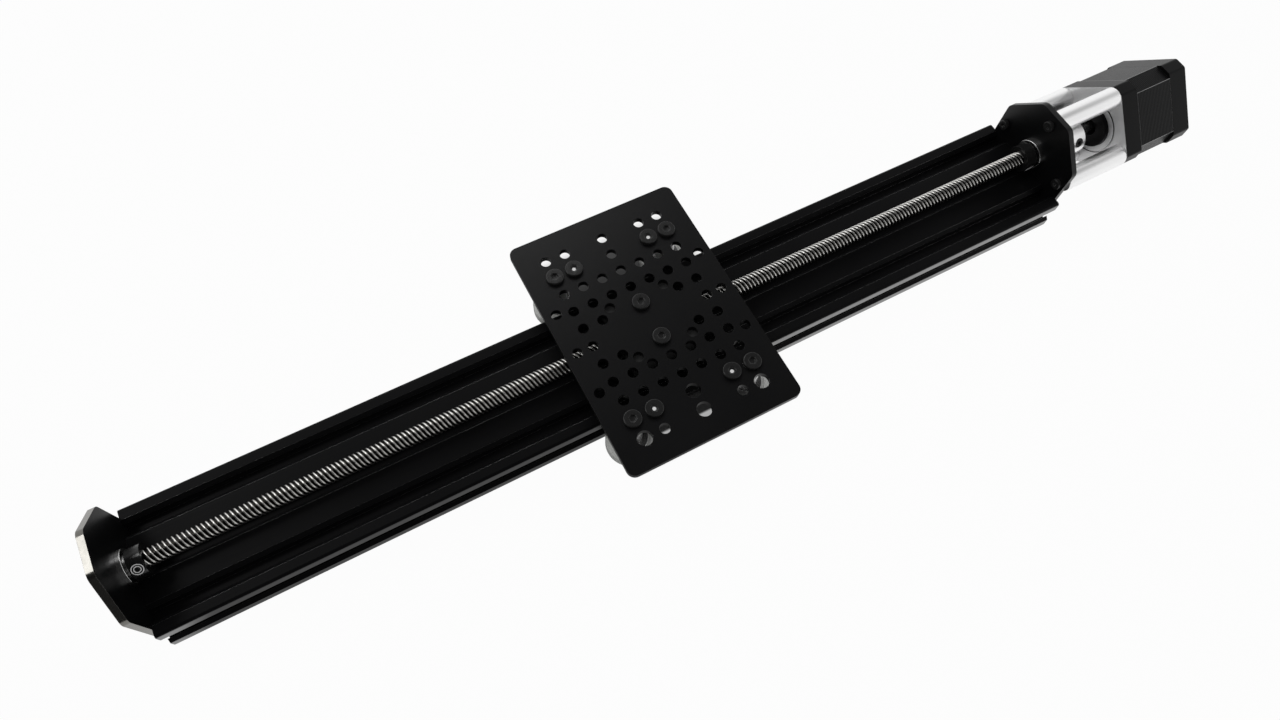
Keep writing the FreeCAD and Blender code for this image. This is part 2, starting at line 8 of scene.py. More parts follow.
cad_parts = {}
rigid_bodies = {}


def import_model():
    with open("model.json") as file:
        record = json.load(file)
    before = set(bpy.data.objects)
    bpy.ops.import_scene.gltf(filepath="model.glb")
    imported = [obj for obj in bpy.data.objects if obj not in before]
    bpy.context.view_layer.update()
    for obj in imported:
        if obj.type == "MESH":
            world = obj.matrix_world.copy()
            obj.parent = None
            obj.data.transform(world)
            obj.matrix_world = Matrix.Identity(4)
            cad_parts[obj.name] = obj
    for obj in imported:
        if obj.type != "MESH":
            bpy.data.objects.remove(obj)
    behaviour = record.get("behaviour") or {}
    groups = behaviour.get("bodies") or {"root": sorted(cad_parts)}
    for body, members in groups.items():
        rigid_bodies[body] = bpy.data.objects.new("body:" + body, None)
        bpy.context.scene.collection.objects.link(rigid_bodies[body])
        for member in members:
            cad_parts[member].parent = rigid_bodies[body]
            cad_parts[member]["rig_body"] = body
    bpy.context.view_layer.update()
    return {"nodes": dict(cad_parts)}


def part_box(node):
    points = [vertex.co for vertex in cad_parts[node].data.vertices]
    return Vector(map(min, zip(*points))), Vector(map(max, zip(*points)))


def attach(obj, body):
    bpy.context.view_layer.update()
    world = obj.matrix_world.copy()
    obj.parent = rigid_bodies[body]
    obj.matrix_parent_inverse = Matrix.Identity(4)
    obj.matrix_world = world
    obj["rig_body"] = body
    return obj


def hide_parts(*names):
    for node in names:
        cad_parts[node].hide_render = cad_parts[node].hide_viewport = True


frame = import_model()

# Beam: one length of aluminium extrusion, three slotted modules wide, cut square and anodised black.
# It lies flat and carries everything else. The die leaves fine lines along it.
# Its broken edges and its two outer sides shine more than the top.

MM = 0.001
weld_reach = 0.002 * MM
flat_angle = math.radians(0.5)
edge_angle = math.radians(35)
edge_segments = 2
flat_face_weight = 100
# How squarely a face has to look along an axis to count as facing that way
square_on = 0.9
rubbed_unevenness = 0.05
beam_side_margin = 1 * MM


def grey(level):
    """Neutral colour of one level."""
    return (level, level, level)


def shade_group(name, inputs, outputs):
    """Empty shader node group with the named value sockets."""
    group = bpy.data.node_groups.new(name, "ShaderNodeTree")
    for label, start in inputs:
        socket = group.interface.new_socket(label, in_out="INPUT", socket_type="NodeSocketFloat")
        socket.default_value = start
    for label in outputs:
        group.interface.new_socket(label, in_out="OUTPUT", socket_type="NodeSocketFloat")
    return group, group.nodes.new("NodeGroupInput"), group.nodes.new("NodeGroupOutput")


def math_node(tree, operation, first, second=0.0):
    """Math node on two sockets or plain numbers, returning its output."""
    node = tree.nodes.new("ShaderNodeMath")
    node.operation = operation
    for socket, value in zip(node.inputs, (first, second)):
        if isinstance(value, (int, float)):
            socket.default_value = value
        else:
            tree.links.new(value, socket)
    return node.outputs[0]


def make_grain_group():
    """Even speckle and slow cloud, for blasted, moulded and cast surfaces."""
    group, entry, leave = shade_group(
        "surface_grain", [("Grains per metre", 4000.0), ("Clouds per metre", 40.0)], ["Grain", "Cloud"])
    place = group.nodes.new("ShaderNodeTexCoord")
    for label, scale, detail in (("Grain", "Grains per metre", 2.0), ("Cloud", "Clouds per metre", 4.0)):
        noise = group.nodes.new("ShaderNodeTexNoise")
        noise.inputs["Detail"].default_value = detail
        group.links.new(place.outputs["Object"], noise.inputs["Vector"])
        group.links.new(entry.outputs[scale], noise.inputs["Scale"])
        group.links.new(noise.outputs["Fac"], leave.inputs[label])
    return group


def make_lines_group():
    """Fine lines that run along X, as an extruding die leaves them."""
    group, entry, leave = shade_group(
        "drawn_lines", [("Lines per metre", 3000.0), ("Stretch", 0.01)], ["Lines"])
    place = group.nodes.new("ShaderNodeTexCoord")
    split = group.nodes.new("ShaderNodeSeparateXYZ")
    join = group.nodes.new("ShaderNodeCombineXYZ")
    noise = group.nodes.new("ShaderNodeTexNoise")
    noise.inputs["Detail"].default_value = 3.0
    group.links.new(place.outputs["Object"], split.inputs[0])
    stretched = math_node(group, "MULTIPLY", split.outputs["X"], entry.outputs["Stretch"])
    group.links.new(stretched, join.inputs["X"])
    group.links.new(split.outputs["Y"], join.inputs["Y"])
    group.links.new(split.outputs["Z"], join.inputs["Z"])
    group.links.new(join.outputs[0], noise.inputs["Vector"])
    group.links.new(entry.outputs["Lines per metre"], noise.inputs["Scale"])
    group.links.new(noise.outputs["Fac"], leave.inputs["Lines"])
    return group


surface_grain = make_grain_group()
drawn_lines = make_lines_group()


def new_finish(name, metallic, specular, roughness, color):
    """Material with one Principled shader, returned with its node tree and shader."""
    finish = bpy.data.materials.new(name)
    finish.use_nodes = True
    shader = finish.node_tree.nodes["Principled BSDF"]
    shader.inputs["Base Color"].default_value = (*color, 1.0)
    shader.inputs["Metallic"].default_value = metallic
    shader.inputs["Specular IOR Level"].default_value = specular
    shader.inputs["Roughness"].default_value = roughness
    return finish, finish.node_tree, shader


def place_group(tree, group, values):
    """Group node in a material, with its own values."""
    node = tree.nodes.new("ShaderNodeGroup")
    node.node_tree = group
    for label, value in values.items():
        node.inputs[label].default_value = value
    return node


def place_grain(tree, grains, clouds):
    """Surface grain with its own count of grains and clouds per metre."""
    return place_group(tree, surface_grain, {"Grains per metre": grains, "Clouds per metre": clouds})


def spread(tree, value, low, high):
    """Map a mask from 0..1 to low..high."""
    node = tree.nodes.new("ShaderNodeMapRange")
    node.inputs["To Min"].default_value = low
    node.inputs["To Max"].default_value = high
    tree.links.new(value, node.inputs["Value"])
    return node.outputs["Result"]


def tint(tree, value, dark, light):
    """Colour between dark and light by a mask."""
    node = tree.nodes.new("ShaderNodeMix")
    node.data_type = "RGBA"
    node.inputs["A"].default_value = (*dark, 1.0)
    node.inputs["B"].default_value = (*light, 1.0)
    tree.links.new(value, node.inputs["Factor"])
    return node.outputs["Result"]


def bump(tree, shader, height, depth):
    """Surface relief of a real depth in metres."""
    node = tree.nodes.new("ShaderNodeBump")
    node.inputs["Strength"].default_value = 1.0
    node.inputs["Distance"].default_value = depth
    tree.links.new(height, node.inputs["Height"])
    tree.links.new(node.outputs["Normal"], shader.inputs["Normal"])


def grained(name, grains, clouds, dark, light, smooth, rough, relief=0.0, metallic=0.0, specular=0.5):
    """Finish with a cloudy colour, and an even grain in its gloss and, where it has one, its relief."""
    finish, tree, shader = new_finish(name, metallic, specular, rough, light)
    grain = place_grain(tree, grains, clouds)
    tree.links.new(tint(tree, grain.outputs["Cloud"], dark, light), shader.inputs["Base Color"])
    tree.links.new(spread(tree, grain.outputs["Grain"], smooth, rough), shader.inputs["Roughness"])
    if relief:
        bump(tree, shader, grain.outputs["Grain"], relief)
    return finish


def anodised_extrusion():
    """Satin black with die lines along the beam."""
    dark, light = (0.0015, 0.0015, 0.0017), (0.0045, 0.0045, 0.005)
    smooth, rough = 0.34, 0.56
    line_depth = 0.02 * MM
    finish, tree, shader = new_finish(
        "black_anodised_extrusion", metallic=0.0, specular=0.08, roughness=rough, color=light)
    lines = place_group(tree, drawn_lines, {"Lines per metre": 2600.0, "Stretch": 0.006})
    grain = place_grain(tree, grains=3500.0, clouds=25.0)
    tree.links.new(tint(tree, grain.outputs["Cloud"], dark, light), shader.inputs["Base Color"])
    tree.links.new(spread(tree, lines.outputs["Lines"], smooth, rough), shader.inputs["Roughness"])
    bump(tree, shader, lines.outputs["Lines"], line_depth)
    return finish


def rubbed_black(name, rough, dark, light):
    """Black rubbed by handling, so the metal shines through a little."""
    return grained(name, grains=400.0, clouds=60.0, dark=dark, light=light, metallic=1.0,
                   smooth=rough - rubbed_unevenness, rough=rough + rubbed_unevenness)


def eased(node, finish, edge, edge_finish=None):
    """Copy of a solid's mesh with its sharp edges broken, in place of the plain node."""
    source = frame["nodes"][node]
    mesh = source.data.copy()
    mesh.name = node + "_eased"
    shape = bmesh.new()
    shape.from_mesh(mesh)
    bmesh.ops.remove_doubles(shape, verts=shape.verts, dist=weld_reach)
    bmesh.ops.dissolve_limit(shape, angle_limit=flat_angle, verts=shape.verts, edges=shape.edges)
    shape.to_mesh(mesh)
    shape.free()
    mesh.materials.clear()
    mesh.materials.append(finish)
    mesh.polygons.foreach_set("use_smooth", [True] * len(mesh.polygons))
    piece = bpy.data.objects.new(node + "_eased", mesh)
    bpy.context.scene.collection.objects.link(piece)
    bevel = piece.modifiers.new("broken_edge", "BEVEL")
    bevel.width = edge
    bevel.segments = edge_segments
    bevel.limit_method = "ANGLE"
    bevel.angle_limit = edge_angle
    if edge_finish:
        mesh.materials.append(edge_finish)
        bevel.material = 1
    flat = piece.modifiers.new("flat_faces", "WEIGHTED_NORMAL")
    flat.mode = "FACE_AREA"
    flat.weight = flat_face_weight
    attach(piece, source["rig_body"])
    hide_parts(node)
    return piece


def refinish(piece, finish, chosen):
    """Another finish on the chosen faces of a piece."""
    piece.data.materials.append(finish)
    for face in piece.data.polygons:
        if chosen(face):
            face.material_index = len(piece.data.materials) - 1


beam_low, beam_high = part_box("beam")
beam_edge_finish = rubbed_black("black_rubbed_beam_edge", rough=0.28, dark=grey(0.16), light=grey(0.28))
beam_side_finish = rubbed_black("black_shiny_beam_side", rough=0.3, dark=grey(0.11), light=grey(0.18))
beam_side_reach = beam_high.y - beam_side_margin
beam = eased("beam", anodised_extrusion(), edge=0.3 * MM, edge_finish=beam_edge_finish)
refinish(beam, beam_side_finish,
         lambda face: abs(face.normal.y) > square_on and abs(face.center.y) > beam_side_reach)

# End plates: two flat aluminium plates, milled with chamfered heads and anodised a fine matt black.
# Two screws hold each one to the beam's end, and each one carries a screw bearing.
# The idler plate's edges get a lighter, shinier finish than the motor plate's: a painted glint where the
# lamp light catches them.

# A face of the plate that looks less than this along X is one of its edges
edge_on = 0.5
plate_finish = grained(
    "black_anodised_plate", grains=6000.0, clouds=30.0, dark=(0.002, 0.002, 0.0022),
    light=(0.005, 0.005, 0.0055), smooth=0.26, rough=0.38, relief=0.012 * MM, specular=0.24)
# Painted glint: a brighter edge finish that only the idler plate's edges take
idler_edge_glint_finish = rubbed_black(
    "black_plate_edge_painted_glint", rough=0.23, dark=(0.12, 0.115, 0.105), light=(0.22, 0.215, 0.2))
eased("motor_end_plate", plate_finish, edge=0.3 * MM)
idler_plate = eased("idler_end_plate", plate_finish, edge=0.3 * MM)
refinish(idler_plate, idler_edge_glint_finish, lambda face: abs(face.normal.x) < edge_on)

# Screws through the end plates: low-head M5 socket screws in black oxide, driven into the beam's bores.
# The same stock holds the carriage together, so their finish serves there too.

oxide_finish = grained(
    "black_oxide_steel", grains=5000.0, clouds=150.0, dark=grey(0.008), light=grey(0.016),
    smooth=0.2, rough=0.36, relief=0.008 * MM, specular=0.4)
eased("end_plate_screws", oxide_finish, edge=0.25 * MM)

# Screw bearings: small steel ball bearings, pressed into the end plates and standing proud inside.
# Their rings are ground bright.

steel_finish = grained(
    "ground_steel", grains=3000.0, clouds=120.0, dark=grey(0.55), light=(0.72, 0.72, 0.71),
    smooth=0.16, rough=0.3, relief=0.005 * MM, metallic=1.0)
eased("screw_bearing_outer_rings", steel_finish, edge=0.25 * MM)
eased("screw_bearing_inner_rings", steel_finish, edge=0.15 * MM)
eased("screw_shims", steel_finish, edge=0.1 * MM)

# Lead screw: a rolled stainless screw, 8 mm across, with four starts and an 8 mm lead.
# Its ends turn in the two bearings, and the motor drives it through the coupling.

thread_starts = 4
thread_lead = 8 * MM
thread_depth = 0.95 * MM
thread_steps_per_turn = 18
# Share of one ridge's pitch at which each point lies, with its depth as a share of the thread's
ridge_profile = ((0.0, 1.0), (0.14, 1.0), (0.24, 0.55), (0.33, 0.15), (0.43, 0.0),
                 (0.57, 0.0), (0.67, 0.15), (0.76, 0.55), (0.86, 1.0))
# Depths, as shares of the thread's, between which painted shade in the grooves gives way to the bright
# steel
groove_shade_depth, unshaded_depth = 0.6, 0.05
end_chamfer = 0.8 * MM
sharp_angle = math.radians(60)
screw_low, screw_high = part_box("lead_screw")
screw_radius = (screw_high.z - screw_low.z) / 2
screw_axis = Vector((0, (screw_low.y + screw_high.y) / 2, (screw_low.z + screw_high.z) / 2))


def distance_from_axis(tree, height):
    """Distance of a point from the line along X at that height over the beam's middle."""
    place = tree.nodes.new("ShaderNodeTexCoord")
    spot = tree.nodes.new("ShaderNodeSeparateXYZ")
    tree.links.new(place.outputs["Object"], spot.inputs[0])
    across = math_node(tree, "POWER", spot.outputs["Y"], 2.0)
    upward = math_node(tree, "POWER", math_node(tree, "SUBTRACT", spot.outputs["Z"], height), 2.0)
    return math_node(tree, "SQRT", math_node(tree, "ADD", across, upward))


def rolled_steel_painted_groove_shade():
    """Rolled steel, bright on its ridges, with painted shade making it dark between them."""
    groove_shade_color, crest_color = (0.035, 0.033, 0.03), (0.86, 0.85, 0.82)
    smooth, rough = 0.2, 0.34
    dull, bright = 0.85, 1.1
    finish, tree, shader = new_finish(
        "rolled_steel_painted_groove_shade", metallic=1.0, specular=0.5, roughness=rough, color=crest_color)
    grain = place_grain(tree, grains=2500.0, clouds=90.0)
    crest = tree.nodes.new("ShaderNodeMapRange")
    crest.inputs["From Min"].default_value = screw_radius - groove_shade_depth * thread_depth
    crest.inputs["From Max"].default_value = screw_radius - unshaded_depth * thread_depth
    tree.links.new(distance_from_axis(tree, screw_axis.z), crest.inputs["Value"])
    cloudy = spread(tree, grain.outputs["Cloud"], dull, bright)
    crest_share = math_node(tree, "MULTIPLY", crest.outputs["Result"], cloudy)
    # Painted shade: the steel's colour darkens towards the thread's roots
    tree.links.new(tint(tree, crest_share, groove_shade_color, crest_color), shader.inputs["Base Color"])
    tree.links.new(spread(tree, grain.outputs["Grain"], smooth, rough), shader.inputs["Roughness"])
    return finish


def threaded_screw():
    """Right-hand multi-start thread, with rings that turn along with it."""
    length = screw_high.x - screw_low.x
    rings = round(length / (thread_lead / thread_steps_per_turn))
    shape = bmesh.new()
    previous = []
    for ring in range(rings + 1):
        x = screw_low.x + length * ring / rings
        limit = screw_radius - max(0.0, end_chamfer - min(x - screw_low.x, screw_high.x - x))
        current = []
        for start in range(thread_starts):
            for share, sunk in ridge_profile:
                turn = 2 * math.pi * ((x - screw_low.x) / thread_lead + (start + share) / thread_starts)
                radius = min(limit, screw_radius - thread_depth * sunk)
                spot = Vector((x, radius * math.cos(turn), radius * math.sin(turn)))
                current.append(shape.verts.new(spot + screw_axis))
        count = len(current)
        for i in range(count if previous else 0):
            j = (i + 1) % count
            shape.faces.new((previous[i], current[i], current[j], previous[j]))
        if not previous or ring == rings:
            shape.faces.new(current if ring else list(reversed(current)))
        previous = current
    bmesh.ops.recalc_face_normals(shape, faces=shape.faces)
    mesh = bpy.data.meshes.new("lead_screw_thread")
    shape.to_mesh(mesh)
    shape.free()
    mesh.materials.append(rolled_steel_painted_groove_shade())
    mesh.polygons.foreach_set("use_smooth", [True] * len(mesh.polygons))
    mesh.set_sharp_from_angle(angle=sharp_angle)
    piece = bpy.data.objects.new("lead_screw_thread", mesh)
    bpy.context.scene.collection.objects.link(piece)
    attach(piece, "screw")
    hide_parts("lead_screw")


threaded_screw()

# Lock collars: turned aluminium rings, anodised glossy black, clamped on the screw by one grub screw each.
# They hold the bearings and shims against the end plates. Thin white rings painted on the grub screws
# stand in for their glints.

# Inner and outer radius of the painted glint ring at a grub screw's rim, and of the one at its key hole
glint_rings = ((2.1 * MM, 2.45 * MM), (1.15 * MM, 1.5 * MM))
glint_height = 0.04 * MM
glint_segments = 48
collar_finish = grained(
    "black_turned_collar", grains=2500.0, clouds=150.0, dark=grey(0.004), light=grey(0.01),
    smooth=0.16, rough=0.3)
# Painted highlight: a plain white finish for the glints on the grub screws and in the plate screws'
# sockets
painted_glint_finish = grained(
    "white_painted_glint", grains=2500.0, clouds=300.0, dark=grey(0.86), light=grey(0.96),
    smooth=0.38, rough=0.52)


def join_sections(shape, one, other):
    """Faces between two closed sections of the same number of points."""
    for i in range(len(one)):
        shape.faces.new((one[i - 1], other[i - 1], other[i], one[i]))


def paint_grub_glints():
    """Thin white rings painted on each collar's grub screw as highlights, round its rim and round its key
    hole.
    """
    axis = Vector((0, 0, screw_axis.z))
    along = Vector((1, 0, 0))
    spots = [vertex.co.copy() for vertex in frame["nodes"]["collar_grub_screws"].data.vertices]
    shape = bmesh.new()
    for group in ([spot for spot in spots if spot.x < 0], [spot for spot in spots if spot.x > 0]):
        middle = sum(group, Vector()) / len(group)
        outward = (Vector((0, middle.y, middle.z)) - axis).normalized()
        around = outward.cross(along)
        top = max((spot - axis).dot(outward) for spot in group)
        center = axis + along * middle.x + outward * top
        for inner, outer in glint_rings:
            corners = ((inner, 0), (outer, 0), (outer, glint_height), (inner, glint_height))
            sections = []
            for i in range(glint_segments):
                turn = 2 * math.pi * i / glint_segments
                arm = along * math.cos(turn) + around * math.sin(turn)
                sections.append([shape.verts.new(center + arm * reach + outward * rise)
                                 for reach, rise in corners])
            for i in range(glint_segments):
                join_sections(shape, sections[i], sections[(i + 1) % glint_segments])
    bmesh.ops.recalc_face_normals(shape, faces=shape.faces)
    mesh = bpy.data.meshes.new("collar_grub_painted_glints")
    shape.to_mesh(mesh)
    shape.free()
    mesh.materials.append(painted_glint_finish)
    piece = bpy.data.objects.new("collar_grub_painted_glints", mesh)
    bpy.context.scene.collection.objects.link(piece)
    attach(piece, "screw")


eased("lock_collars", collar_finish, edge=0.4 * MM)
eased("collar_grub_screws", oxide_finish, edge=0.1 * MM)
paint_grub_glints()

# Motor bay: four bright turned tubes hold the motor off the end plate, with a long M3 bolt through each.
# A flexible coupling, turned from bar and slit across, joins the lead screw to the motor's shaft.

lathe_lines_per_metre = 4000.0
lathe_line_depth = 0.006 * MM


def turned_aluminium():
    """Bright turned bar: fine rings round X and a soft cloudiness."""
    dark, light = (0.88, 0.88, 0.89), (0.96, 0.96, 0.95)
    smooth, rough = 0.22, 0.42
    finish, tree, shader = new_finish(
        "bright_turned_aluminium", metallic=1.0, specular=0.5, roughness=rough, color=light)
    place = tree.nodes.new("ShaderNodeTexCoord")
    split = tree.nodes.new("ShaderNodeSeparateXYZ")
    join = tree.nodes.new("ShaderNodeCombineXYZ")
    noise = tree.nodes.new("ShaderNodeTexNoise")
    noise.inputs["Scale"].default_value = lathe_lines_per_metre
    noise.inputs["Detail"].default_value = 2.0
    tree.links.new(place.outputs["Object"], split.inputs[0])
    tree.links.new(split.outputs["X"], join.inputs["X"])
    tree.links.new(join.outputs[0], noise.inputs["Vector"])
    grain = place_grain(tree, grains=900.0, clouds=60.0)
    tree.links.new(tint(tree, grain.outputs["Cloud"], dark, light), shader.inputs["Base Color"])
    tree.links.new(spread(tree, noise.outputs["Fac"], smooth, rough), shader.inputs["Roughness"])
    bump(tree, shader, noise.outputs["Fac"], lathe_line_depth)
    return finish


bright_finish = turned_aluminium()
eased("motor_standoffs", bright_finish, edge=0.3 * MM)
eased("coupling", bright_finish, edge=0.3 * MM)
eased("coupling_grub_screws", oxide_finish, edge=0.1 * MM)
eased("motor_bolts", oxide_finish, edge=0.25 * MM)
eased("motor_flush_bolt", oxide_finish, edge=0.1 * MM)

# Motor: a square stepper, corner up. Two cast bells, painted satin black, clamp a stack of steel sheets.
# The front bell's face is machined bare where it meets the tubes. Four long screws go in from the rear.

pilot_reach = 11.2 * MM
bare_shine = 0.45
bare_roughness = 0.36
# Scale of the wave that shows the sheets' edges, which puts its bands 1 mm apart
sheet_bands = 314.0
sheet_depth = 0.04 * MM
paint_depth = 0.02 * MM


def bare_face_mask(tree):
    """1 on the front bell's flat face outside its pilot, 0 elsewhere."""
    low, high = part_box("motor_standoffs")
    facing = tree.nodes.new("ShaderNodeNewGeometry")
    turn = tree.nodes.new("ShaderNodeSeparateXYZ")
    tree.links.new(facing.outputs["True Normal"], turn.inputs[0])
    outside = math_node(tree, "GREATER_THAN", distance_from_axis(tree, (low.z + high.z) / 2), pilot_reach)
    forward = math_node(tree, "LESS_THAN", turn.outputs["X"], -square_on)
    return math_node(tree, "MULTIPLY", outside, forward)


def painted_bell(bare_face):
    """Satin black paint, with bare machined metal on the front bell's face."""
    dark, light = (0.0025, 0.0025, 0.0027), (0.006, 0.006, 0.0063)
    bare_dark, bare_light = (0.72, 0.72, 0.73), grey(0.86)
    smooth, rough = 0.24, 0.38
    name = "black_bell_bare_face" if bare_face else "black_painted_bell"
    finish, tree, shader = new_finish(name, metallic=0.0, specular=0.085, roughness=rough, color=light)
    grain = place_grain(tree, grains=2800.0, clouds=60.0)
    color = tint(tree, grain.outputs["Cloud"], dark, light)
    roughness = spread(tree, grain.outputs["Grain"], smooth, rough)
    bump(tree, shader, grain.outputs["Grain"], paint_depth)
    if bare_face:
        bare = bare_face_mask(tree)
        color_mix = tree.nodes.new("ShaderNodeMix")
        color_mix.data_type = "RGBA"
        tree.links.new(bare, color_mix.inputs["Factor"])
        tree.links.new(color, color_mix.inputs["A"])
        tree.links.new(tint(tree, grain.outputs["Grain"], bare_dark, bare_light), color_mix.inputs["B"])
        color = color_mix.outputs["Result"]
        rough_mix = tree.nodes.new("ShaderNodeMix")
        tree.links.new(bare, rough_mix.inputs["Factor"])
        tree.links.new(roughness, rough_mix.inputs["A"])
        rough_mix.inputs["B"].default_value = bare_roughness
        roughness = rough_mix.outputs["Result"]
        tree.links.new(math_node(tree, "MULTIPLY", bare, bare_shine), shader.inputs["Metallic"])
    tree.links.new(color, shader.inputs["Base Color"])
    tree.links.new(roughness, shader.inputs["Roughness"])
    return finish


def sheet_stack():
    """Dark coated steel sheets, seen edge on."""
    dark, light = (0.0025, 0.0025, 0.0027), (0.0075, 0.0075, 0.008)
    smooth, rough = 0.26, 0.38
    finish, tree, shader = new_finish(
        "motor_sheet_stack", metallic=0.0, specular=0.1, roughness=rough, color=light)
    place = tree.nodes.new("ShaderNodeTexCoord")
    wave = tree.nodes.new("ShaderNodeTexWave")
    wave.bands_direction = "X"
    wave.inputs["Scale"].default_value = sheet_bands
    wave.inputs["Distortion"].default_value = 0.4
    wave.inputs["Detail Scale"].default_value = 400.0
    tree.links.new(place.outputs["Object"], wave.inputs["Vector"])
    tree.links.new(tint(tree, wave.outputs["Fac"], dark, light), shader.inputs["Base Color"])
    tree.links.new(spread(tree, wave.outputs["Fac"], rough, smooth), shader.inputs["Roughness"])
    bump(tree, shader, wave.outputs["Fac"], sheet_depth)
    return finish


rubber_finish = grained(
    "black_rubber", grains=2500.0, clouds=200.0, dark=grey(0.012), light=grey(0.025),
    smooth=0.6, rough=0.8, relief=0.02 * MM, specular=0.3)
stator_edge_finish = rubbed_black("black_rubbed_stator_edge", rough=0.3, dark=grey(0.24), light=grey(0.4))
eased("motor_front_bell", painted_bell(True), edge=0.35 * MM)
eased("motor_rear_bell", painted_bell(False), edge=0.6 * MM)
eased("motor_stator", sheet_stack(), edge=0.25 * MM, edge_finish=stator_edge_finish)
eased("motor_case_screws", steel_finish, edge=0.2 * MM)
eased("motor_lead_grommet", rubber_finish, edge=0.5 * MM)
eased("motor_bearing_outer_rings", steel_finish, edge=0.2 * MM)
eased("motor_bearing_inner_rings", steel_finish, edge=0.2 * MM)
eased("motor_rotor", steel_finish, edge=0.2 * MM)

# Carriage plate: a flat aluminium plate with round corners and a grid of holes, anodised black.
# The nut block, moulded in black acetal, hangs under its middle on two screws and rides on the lead screw.
# Four more screws with nuts sit in the plate, each with a white patch painted on its socket's floor as a
# glint.

# A face that lies deeper than this under the heads is a socket's floor
least_socket_depth = 1 * MM
glint_margin = 0.75 * MM
acetal_finish = grained(
    "black_acetal", grains=3000.0, clouds=80.0, dark=grey(0.015), light=grey(0.03),
    smooth=0.4, rough=0.6, relief=0.01 * MM, specular=0.4)


def paint_socket_glints(screws):
    """Painted highlight: white in the middle of each socket's floor."""
    floor_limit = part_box("plate_screws")[1].z - least_socket_depth
    shape = bmesh.new()
    shape.from_mesh(screws.data)
    floors = [face for face in shape.faces
              if face.normal.z > square_on and face.calc_center_median().z < floor_limit]
    # Painted highlight: the inset middle of each socket's floor takes the white finish
    bmesh.ops.inset_individual(shape, faces=floors, thickness=glint_margin)
    for face in floors:
        face.material_index = 1
    shape.to_mesh(screws.data)
    shape.free()
    screws.data.materials.append(painted_glint_finish)


carriage_plate = eased("carriage_plate", plate_finish, edge=0.25 * MM)
eased("nut_block", acetal_finish, edge=0.4 * MM)
eased("nut_block_screws", oxide_finish, edge=0.45 * MM)
plate_screws = eased("plate_screws", oxide_finish, edge=0.45 * MM)
paint_socket_glints(plate_screws)
eased("plate_nuts", steel_finish, edge=0.3 * MM)

# Wheels: solid wheels turned from pale clear plastic, with two steel bearings in each.
# Each hangs on a long screw through the plate, with shims and tubes above it and a nut below.

clear_share = 0.35
clear_index = 1.5
wheel_finish = grained(
    "pale_clear_plastic", grains=2000.0, clouds=100.0, dark=(0.82, 0.83, 0.8), light=(0.9, 0.91, 0.88),
    smooth=0.22, rough=0.4, relief=0.006 * MM)
wheel_shader = wheel_finish.node_tree.nodes["Principled BSDF"]
wheel_shader.inputs["Transmission Weight"].default_value = clear_share
wheel_shader.inputs["IOR"].default_value = clear_index
for corner in ("far_idler", "far_motor", "near_idler", "near_motor"):
    eased("wheel_" + corner, wheel_finish, edge=0.2 * MM)
    eased("wheel_bearings_" + corner, steel_finish, edge=0.2 * MM)
eased("wheel_bearing_inner_rings", steel_finish, edge=0.15 * MM)
eased("wheel_bearing_shims", steel_finish, edge=0.1 * MM)
eased("axle_shims", steel_finish, edge=0.1 * MM)
eased("axle_spacers_long", bright_finish, edge=0.25 * MM)
eased("axle_spacers_short", bright_finish, edge=0.25 * MM)
eased("eccentric_spacers", steel_finish, edge=0.25 * MM)
eased("wheel_axle_screws", oxide_finish, edge=0.45 * MM)
eased("axle_nuts", steel_finish, edge=0.3 * MM)

# Studio: a pale floor, two soft lamps on the far side, and a white surround that shows in reflections
# as bright walls under a dark ceiling.
# The camera stands above the near idler end, where the photograph was taken.

image_width = 1280
focal_pixels = 875.91
sensor_width = 36.0
nearest_view = 10 * MM
camera_from_beam_end = Vector((136.724, -158.097, 395.735)) * MM
look_along = Vector((0.23282, 0.35792, -0.90426))
look_right = Vector((0.88144, -0.47053, 0.04070))
# Heights of a direction between which the bright walls go over into the dark ceiling
wall_top, ceiling_edge = 0.58, 0.84
# Direction of the dark screen by the camera, and how closely a direction meets it at its edge and middle
dark_screen = (-0.5, -0.8, 0.33)
screen_edge, screen_middle = 0.25, 0.8
dim_level = 0.05
# Soft light from level with the object and from straight above
soft_side, soft_above = 0.08, 0.85
floor_reach = 4.0
floor_drop = 0.2 * MM
floor_roughness = 0.9
floor_glow = 0.97
floor_open = grey(0.4)
floor_shaded = grey(0.12)
# Axis, its letter, and how far from the plate's middle a shade starts and is full
shade_ends = ((0, "X", -38 * MM, -20 * MM), (0, "X", 57 * MM, 40 * MM), (1, "Y", 73.5 * MM, 61 * MM))
deep_shade = (*shade_ends, (1, "Y", -42.4 * MM, -39.6 * MM))
light_shade = (*shade_ends, (1, "Y", -56 * MM, -50 * MM))
# Strength of the light shade beside the deep one
light_shade_share = 0.6
# Where along X the floor's dimmer stretch starts and is full, from each of its two ends
dim_floor_end = (beam_low.x - 2 * MM, beam_low.x + 18 * MM)
dim_floor_middle = (40 * MM, -45 * MM)
dim_floor_glow = 0.28
# Name, place, target, size in metres and power in watts of each lamp
soft_lamps = (("idler_softbox", (-0.79, 0.58, 1.3), (-0.28, 0, 0.05), 0.35, 2.8),
              ("far_softbox", (0.05, 1.0, 1.0), (0, 0, 0), 0.6, 2.6))


def make_camera():
    """Camera with the photograph's place, direction and lens."""
    data = bpy.data.cameras.new("photo_camera")
    data.sensor_width = sensor_width
    data.lens = focal_pixels / image_width * sensor_width
    data.clip_start = nearest_view
    camera = bpy.data.objects.new("photo_camera", data)
    bpy.context.scene.collection.objects.link(camera)
    back = -look_along.normalized()
    up = back.cross(look_right.normalized()).normalized()
    right = up.cross(back).normalized()
    camera.matrix_world = Matrix((right, up, back)).transposed().to_4x4()
    camera.location = camera_from_beam_end + Vector((beam_low.x, 0, 0))
    bpy.context.scene.camera = camera


